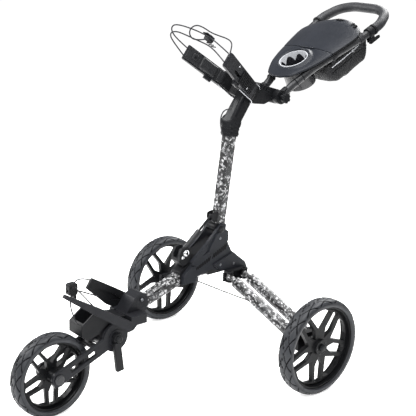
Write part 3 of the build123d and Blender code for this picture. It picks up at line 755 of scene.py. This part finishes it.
def bag_blank():
    """Bag shape before it sags, on a cube's grid."""
    form = bmesh.new()
    bmesh.ops.create_cube(form, size=2)
    bmesh.ops.subdivide_edges(form, edges=form.edges[:], cuts=15, use_grid_fill=True)
    for v in form.verts:
        across, span, down = v.co
        along = BAG_MIDDLE + BAG_HALF_LONG * span
        depth = bag_depth(along) - 3
        round_off = 1 - 0.07 * (span ** 4) - 0.12 * max(0.0, -down) ** 2
        x = BAG_HALF_WIDE * across * round_off
        off = -2 - depth * (1 - down) / 2
        v.co = on_handle(x, along + 3 * (1 - across ** 2) * span, off)
    mesh = bpy.data.meshes.new("bag")
    form.to_mesh(mesh)
    form.free()
    bag = bpy.data.objects.new("bag_body", mesh)
    bpy.context.scene.collection.objects.link(bag)
    return bag


def apply_modifiers(piece):
    graph = bpy.context.evaluated_depsgraph_get()
    mesh = bpy.data.meshes.new_from_object(piece.evaluated_get(graph))
    piece.modifiers.clear()
    piece.data = mesh


def sag(bag, limit_mm=9.0):
    """Cloth simulation: the bag hangs from its rim, with a little spare cloth and air."""
    remesh = bag.modifiers.new("remesh", "REMESH")
    remesh.mode = "VOXEL"
    remesh.voxel_size = 0.0052
    apply_modifiers(bag)
    start = np.array([v.co for v in bag.data.vertices])
    rim = bag.vertex_groups.new(name="rim")
    origin = on_handle(0, 0, 0)
    held = [v.index for v in bag.data.vertices if (v.co - origin).dot(OUT) > -0.010]
    rim.add(held, 1.0, "REPLACE")
    cloth = bag.modifiers.new("cloth", "CLOTH")
    settings = cloth.settings
    settings.quality = 6
    settings.mass = 0.25
    settings.tension_stiffness = settings.compression_stiffness = 8
    settings.shear_stiffness = 4
    settings.bending_stiffness = 0.12
    settings.vertex_group_mass = "rim"
    settings.shrink_min = -0.055
    settings.use_pressure = True
    settings.uniform_pressure_force = 1.1
    cloth.collision_settings.use_collision = False
    scene = bpy.context.scene
    for step in range(1, SAG_STEPS + 1):
        scene.frame_set(step)
    apply_modifiers(bag)
    scene.frame_set(1)
    for v, before in zip(bag.data.vertices, start):
        move = v.co - Vector(before)
        far = move.length / MM
        if far > limit_mm:
            v.co = Vector(before) + move * (limit_mm / far)


def on_surface(tree, start, direction, lift):
    """The nearest point of the bag along a ray, lifted off it a little."""
    hit = tree.ray_cast(start, direction, 0.3)
    return hit[0] - direction * lift, hit[1]


def ribbon(name, places, normals, width_mm, thick_mm, finish):
    """Flat strap through places; its width lies square to the path and the normal."""
    points = []
    for k, (place, normal) in enumerate(zip(places, normals)):
        run = (places[min(k + 1, len(places) - 1)] - places[max(k - 1, 0)]).normalized()
        wide = run.cross(normal).normalized() * width_mm * MM / 2
        up = normal.normalized() * thick_mm * MM / 2
        points += [place - wide - up, place + wide - up, place + wide + up, place - wide + up]
    count = len(places)
    faces = grid_faces(count, 4, False, True)
    faces += [(0, 1, 2, 3), tuple((count - 1) * 4 + k for k in (3, 2, 1, 0))]
    return add_mesh(name, points, faces, finish, smooth=False)


def bag_route(off, first=205, last=380):
    """Starts and directions of rays that go round the bag's front side, grip end and far side."""
    rays = []
    for along in np.linspace(first, last, 34):
        rays.append((on_handle(120, along, off), -ACROSS))
    for share in np.linspace(0, 1, 30)[1:-1]:
        angle = math.pi * share
        x = 78 * math.cos(angle)
        way = -(ACROSS * math.cos(angle) + ALONG * math.sin(angle) * 1.1).normalized()
        start = on_handle(x * 0.7, last - 10, off) - way * 0.09
        rays.append((start, way))
    for along in np.linspace(last, first, 34):
        rays.append((on_handle(-120, along, off), ACROSS))
    return rays


def seam(name, tree, off, width, thick, finish, lift=0.4):
    found = [(on_surface(tree, p, d, lift * MM), d) for p, d in bag_route(off)
             if tree.ray_cast(p, d, 0.3)[0] is not None]
    places = [f[0][0] for f in found]
    normals = [-f[1] for f in found]
    for _ in range(2):
        places = [places[0]] + [(a + b * 2 + c) / 4 for a, b, c in
                                zip(places, places[1:], places[2:])] + [places[-1]]
    return ride(ribbon(name, places, normals, width, thick, finish), "handle"), places


def accessory_bag():
    bag = bag_blank()
    sag(bag)
    smooth = bag.modifiers.new("smooth", "SUBSURF")
    smooth.levels = smooth.render_levels = 1
    apply_modifiers(bag)
    bag.data.materials.clear()
    bag.data.materials.append(MATERIALS["bag_fabric"])
    bag.data.shade_smooth()
    ride(bag, "handle")
    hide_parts("accessory_bag")
    tree = BVHTree.FromPolygons([v.co.copy() for v in bag.data.vertices],
                                [tuple(p.vertices) for p in bag.data.polygons])
    seam("bag_zip_tape", tree, ZIP_OFF, 13, 1.2, "webbing")
    _, teeth = seam("bag_zip_teeth", tree, ZIP_OFF, 3.2, 1.6, "silver", 0.9)
    seam("bag_piping", tree, PIPING_OFF, 3.4, 2.2, "webbing", 0.8)
    pull_spot = teeth[len(teeth) // 5]
    pull = brick("bag_zip_slider", (9, 12, 3.4), pull_spot + ACROSS * 0.002, ALONG, ACROSS, "steel", 0.9)
    ride(pull, "handle")
    tab = brick("bag_zip_pull", (5, 24, 2.0), pull_spot + ACROSS * 0.003 - Vector((0, 0, 0.014)),
                Vector((0, 1, 0)), ACROSS, "webbing", 0.8)
    ride(tab, "handle")


accessory_bag()


# ---------------------------------------------------------------- handle details
HANDLE_SIDE_MM = [(46, 14, 0), (50, 60, 6), (72, 134, 20), (116, 339, 20), (121, 412, 20)]


def handle_side(along):
    """Middle of the handle tube's left side at a station."""
    spots = [a for _, a, _ in HANDLE_SIDE_MM]
    x = np.interp(along, spots, [p[0] for p in HANDLE_SIDE_MM])
    off = np.interp(along, spots, [p[2] for p in HANDLE_SIDE_MM])
    return float(x), float(off)


def bag_straps():
    """Webbing loops that hang the bag from the handle tube."""
    for side_name, sign in (("left", 1), ("right", -1)):
        for k, along in enumerate((214, 322)):
            x, off = handle_side(along)
            places, normals = [], []
            for step in range(25):
                angle = math.radians(-60 + 300 * step / 24)
                radial = ACROSS * sign * math.cos(angle) + OUT * math.sin(angle)
                places.append(on_handle(sign * x, along, off) + radial * 0.0134)
                normals.append(radial)
            strap = ribbon(f"bag_strap_{side_name}_{k}", places, normals, 18, 1.5, "webbing")
            ride(strap, "handle")
            low = on_handle(sign * (x - 4), along, off - 21)
            tail = brick(f"bag_strap_tail_{side_name}_{k}", (2.0, 18, 24), low, ACROSS, OUT,
                         "webbing", 0.7)
            ride(tail, "handle")


def handle_details():
    for side_name, sign in (("left", 1), ("right", -1)):
        x, off = handle_side(381)
        way = ACROSS * sign * 0.07 + ALONG
        collar("grip_collar_" + side_name, on_handle(sign * (x + 0.3), 381, off), way, 12.2, 17.4, 7,
               "handle")
        for k, along in enumerate((72, 96)):
            x, off = handle_side(along)
            way = (ACROSS * sign * 0.30 + ALONG + OUT * 0.18)
            collar(f"tube_ring_{side_name}_{k}", on_handle(sign * x, along, off), way, 12.1, 14.2, 3.2,
                   "handle", "gloss_black")
    ring = [(9.5, 0), (17, 0), (18.5, 0.8), (18.5, 1.4), (9.5, 1.4)]
    cap = [(0.01, 0), (17, 0), (18.5, 1.0), (17, 3.6), (0.01, 4.2)]
    for name, profile, x, sign in (("pivot_ring_left", ring, 0.0565, 1),
                                   ("pivot_cap_right", cap, -0.0602, -1)):
        ride(turned(name, profile, Vector((x, PIVOT.y, PIVOT.z)), (sign, 0, 0), "gloss_black"),
             "handle")


bag_straps()
handle_details()


# ---------------------------------------------------------------- cradle details
CRADLE = design(0, 9, 843)
ARM = Vector((0, -0.8, 0.6))
BAG_AXIS = Vector((0, -0.6, -0.8))


def on_cradle(x, v, w):
    """A point in millimetres in the upper cradle's own directions."""
    return CRADLE + (ACROSS * x + ARM * v + BAG_AXIS * w) * MM


def polyline_strip(name, places, radius_mm, finish):
    """Round wire or bead through places, as a curve with tight corners."""
    curve = bpy.data.curves.new(name, "CURVE")
    curve.dimensions = "3D"
    curve.bevel_depth = radius_mm * MM
    curve.bevel_resolution = 3
    curve.use_fill_caps = True
    spline = curve.splines.new("POLY")
    spline.points.add(len(places) - 1)
    for point, place in zip(spline.points, places):
        point.co = (*place, 1)
    curve.materials.append(MATERIALS[finish])
    piece = bpy.data.objects.new(name, curve)
    bpy.context.scene.collection.objects.link(piece)
    return piece


ARM_RIBS = 10
PAD_BLOCKS_MM = (             # name, along ARM, along BAG_AXIS, size, finish, corner
    ("crown", 122, -1, (12, 60, 36), "pad_rubber", 5.4),
    ("heel", 72, -1, (8, 26, 38), "pad_rubber", 2.0),
    ("frame", 172, -2, (4.6, 18, 18), "pad_rubber", 1.4),
    ("button", 172, -2, (5.6, 9, 9), "gloss_black", 1.2),
)


def cradle_details():
    edge = [(-45.5, 66), (-45.5, 2), (-31, -17.5), (31, -17.5), (45.5, 2), (45.5, 66)]
    for name, w in (("upper", -26), ("lower", 24)):
        strip = polyline_strip(f"cradle_trim_{name}", [on_cradle(x, v, w) for x, v in edge], 1.1, "silver")
        ride(strip, "mast")
    for side_name, sign in (("left", 1), ("right", -1)):
        outward = (ACROSS * sign * 0.97 - ARM * 0.25).normalized()
        for k, (x, v, w) in enumerate(((66, 60, 13), (83, 140, -14))):
            screw(f"arm_screw_{side_name}_{k}", on_cradle(sign * x, v, w), outward, 2.6, "mast", "steel")
        for k in range(ARM_RIBS):
            v = 34 + 8 * k
            spot = on_cradle(sign * (56.5 + 0.25 * (v - 34)), v, -1)
            rib = brick(f"arm_rib_{side_name}_{k}", (7, 4.6, 40), spot, ACROSS, BAG_AXIS,
                        "black_plastic", 1.0)
            ride(rib, "mast")
        for name, v, w, size, finish, corner in PAD_BLOCKS_MM:
            spot = on_cradle(sign * (46.4 + 0.2856 * (v - 75)), v, w)
            piece = brick(f"arm_{name}_{side_name}", size, spot, -outward, BAG_AXIS, finish, corner)
            ride(piece, "mast")
    clip_details(middle("upper_clip"))


def clip_details(clip):
    """The cords' clip: a block with teeth at its top and bars below."""
    body = brick("cord_clip", (24, 22, 17), clip + Vector((0, -0.004, 0.003)), ACROSS, BAG_AXIS,
                 "charcoal", 3.0)
    ride(body, "mast")
    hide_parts("upper_clip")
    for k in range(4):
        spot = clip + Vector(((k - 1.5) * 0.0058, -0.010, 0.0135))
        tooth = brick(f"clip_tooth_{k}", (3.0, 24, 4), spot, ACROSS, BAG_AXIS, "black_plastic", 1.0)
        ride(tooth, "mast")
    for k in range(3):
        spot = clip + Vector((0, 0.008 * (k - 1) + 0.004, -0.010 - 0.006 * k))
        bar = brick(f"clip_bar_{k}", (22, 3, 3), spot, ACROSS, OUT, "charcoal", 0.9)
        ride(bar, "mast")


cradle_details()


# ---------------------------------------------------------------- frame details
VENT_SHADES, VENT_SHADE_GAP = 17, 8       # places in the row of painted slot shade on a hinge plate, and the one left blank


def frame_details():
    strut_foot = design(0, -225, 385)
    nut = [(0.01, 5.0), (4.6, 5.0), (6.6, 4.2), (7.6, 3.0), (7.6, 0), (0.01, 0)]
    washer = [(4.2, 0), (10.5, 0), (10.5, 1.4), (4.2, 1.4)]
    hinge_cap = [(0.01, 2.4), (8, 2.2), (11.6, 0.8), (12, -0.4), (0.01, -0.4)]
    for side_name, sign in (("left", 1), ("right", -1)):
        way = (sign, 0, 0)
        spot = strut_foot + ACROSS * sign * 0.0195
        ride(turned("strut_nut_" + side_name, nut, spot, way, "chrome", 6), "frame")
        ride(turned("strut_washer_" + side_name, washer, strut_foot + ACROSS * sign * 0.0191, way,
                    "chrome"), "frame")
        screw("anchor_screw_" + side_name, spot + Vector((0, -0.013, -0.012)), way, 4.6, "frame", "chrome")
        spot = Vector((sign * 0.0333, HINGE.y, HINGE.z))
        ride(turned("hinge_cap_" + side_name, hinge_cap, spot, way, "gloss_black"), "frame")
        for k in range(VENT_SHADES):
            if k == VENT_SHADE_GAP:
                continue
            # painted shade: thin near-black bars laid in the hinge plate's slots
            spot = design(sign * 27.0, -188 + 7.2 * k, 331 + 3.0 * k)
            slot_shade = brick(f"hinge_slot_shade_{side_name}_{k}", (0.8, 3.8, 13 + 0.5 * k), spot, ACROSS,
                         (0, 0.39, 0.92), "painted_slot_shade", 0.2)
            ride(slot_shade, "frame")
        for k, (y, z) in enumerate(((-396, 281), (-401, 240))):
            screw(f"clamp_screw_{side_name}_{k}", design(sign * 28.6, y, z), way, 5.0, "frame")
    for k, (y, z) in enumerate(((-500, 326), (-418, 250))):
        screw(f"wide_arm_screw_{k}", design(-49.2, y, z), (-1, 0, 0), 4.0, "frame")
    cap = [(0.01, 1.6), (16, 1.4), (18.4, 0.4), (18.6, -0.4), (0.01, -0.4)]
    small_cap = [(r * 0.52, h) for r, h in cap]
    for name, profile, x, sign in (("right", cap, -0.0480, -1), ("left", small_cap, 0.0622, 1)):
        ride(turned("drum_cap_" + name, profile, Vector((x, DRUM.y, DRUM.z)), (sign, 0, 0),
                    "gloss_black"), "frame")
    hook = middle("lower_hook")
    knob = [(0.01, 8), (5, 7.6), (8.6, 5), (9.6, 1), (8.6, -3), (6, -6.5), (0.01, -7)]
    for k, turn in enumerate((0.0, 1.26, 2.51, 3.77, 5.03)):
        way = Vector((math.cos(turn), -0.25, math.sin(turn)))
        lobe = turned(f"hook_lobe_{k}", [(r * 0.55, h * 0.9) for r, h in knob],
                      hook + Vector((0, -0.002, 0.012)) + way * 0.0085, way, "black_plastic", 20)
        ride(lobe, "frame")


frame_details()


# ---------------------------------------------------------------- stage and light
def glow(name, strength):
    """White material that gives its own light and reflects none."""
    s = Shader(name)
    s.finish(Base_Color=(0.0, 0.0, 0.0, 1), Specular_IOR_Level=0.0, Emission_Color=(1, 1, 1, 1),
             Emission_Strength=strength)
    return s.material


def stage():
    """White floor, a white dome that is hidden from bounced and shadow rays, and the lamps."""
    s = Shader("studio_floor")
    tone = s.mix(s.noise(1.5, 4), (0.80, 0.80, 0.80), (0.84, 0.84, 0.84))
    s.finish(Base_Color=tone, Roughness=0.85, Emission_Color=(1, 1, 1, 1), Emission_Strength=0.62)
    MATERIALS["studio_floor"] = s.material
    MATERIALS["studio_wall"] = glow("studio_wall", 1.05)
    size = 2.3
    floor = add_mesh("floor", [(-size, -size, 0), (size, -size, 0), (size, size, 0), (-size, size, 0)],
                     [(0, 1, 2, 3)], "studio_floor", smooth=False)
    wall = bmesh.new()
    bmesh.ops.create_uvsphere(wall, u_segments=32, v_segments=16, radius=11.0)
    mesh = bpy.data.meshes.new("studio_wall")
    wall.to_mesh(mesh)
    wall.free()
    mesh.materials.append(MATERIALS["studio_wall"])
    dome = bpy.data.objects.new("studio_wall", mesh)
    bpy.context.scene.collection.objects.link(dome)
    dome.visible_diffuse = dome.visible_glossy = dome.visible_shadow = dome.visible_transmission = False
    world = bpy.data.worlds.new("studio")
    bpy.context.scene.world = world
    world.use_nodes = True
    background = world.node_tree.nodes["Background"]
    background.inputs["Color"].default_value = (1.0, 1.0, 1.0, 1)
    background.inputs["Strength"].default_value = 0.36
    lamp("key_light", (2.2, -2.6, 3.0), 1.8, 150)
    lamp("side_light", (-2.4, -1.6, 2.2), 1.6, 95)
    lamp("back_light", (-0.6, 2.6, 2.6), 1.8, 130)
    lamp("top_light", (0.2, 0.0, 3.4), 2.4, 130)


def lamp(name, place, size, power):
    data = bpy.data.lights.new(name, "AREA")
    data.energy = power
    data.size = size
    light = bpy.data.objects.new(name, data)
    bpy.context.scene.collection.objects.link(light)
    light.location = place
    light.rotation_euler = (Vector((0, 0, 0.5)) - Vector(place)).to_track_quat("-Z", "Y").to_euler()


stage()
view = bpy.context.scene.view_settings
view.view_transform = "Standard"
view.look = "None"
view.exposure = 0.0
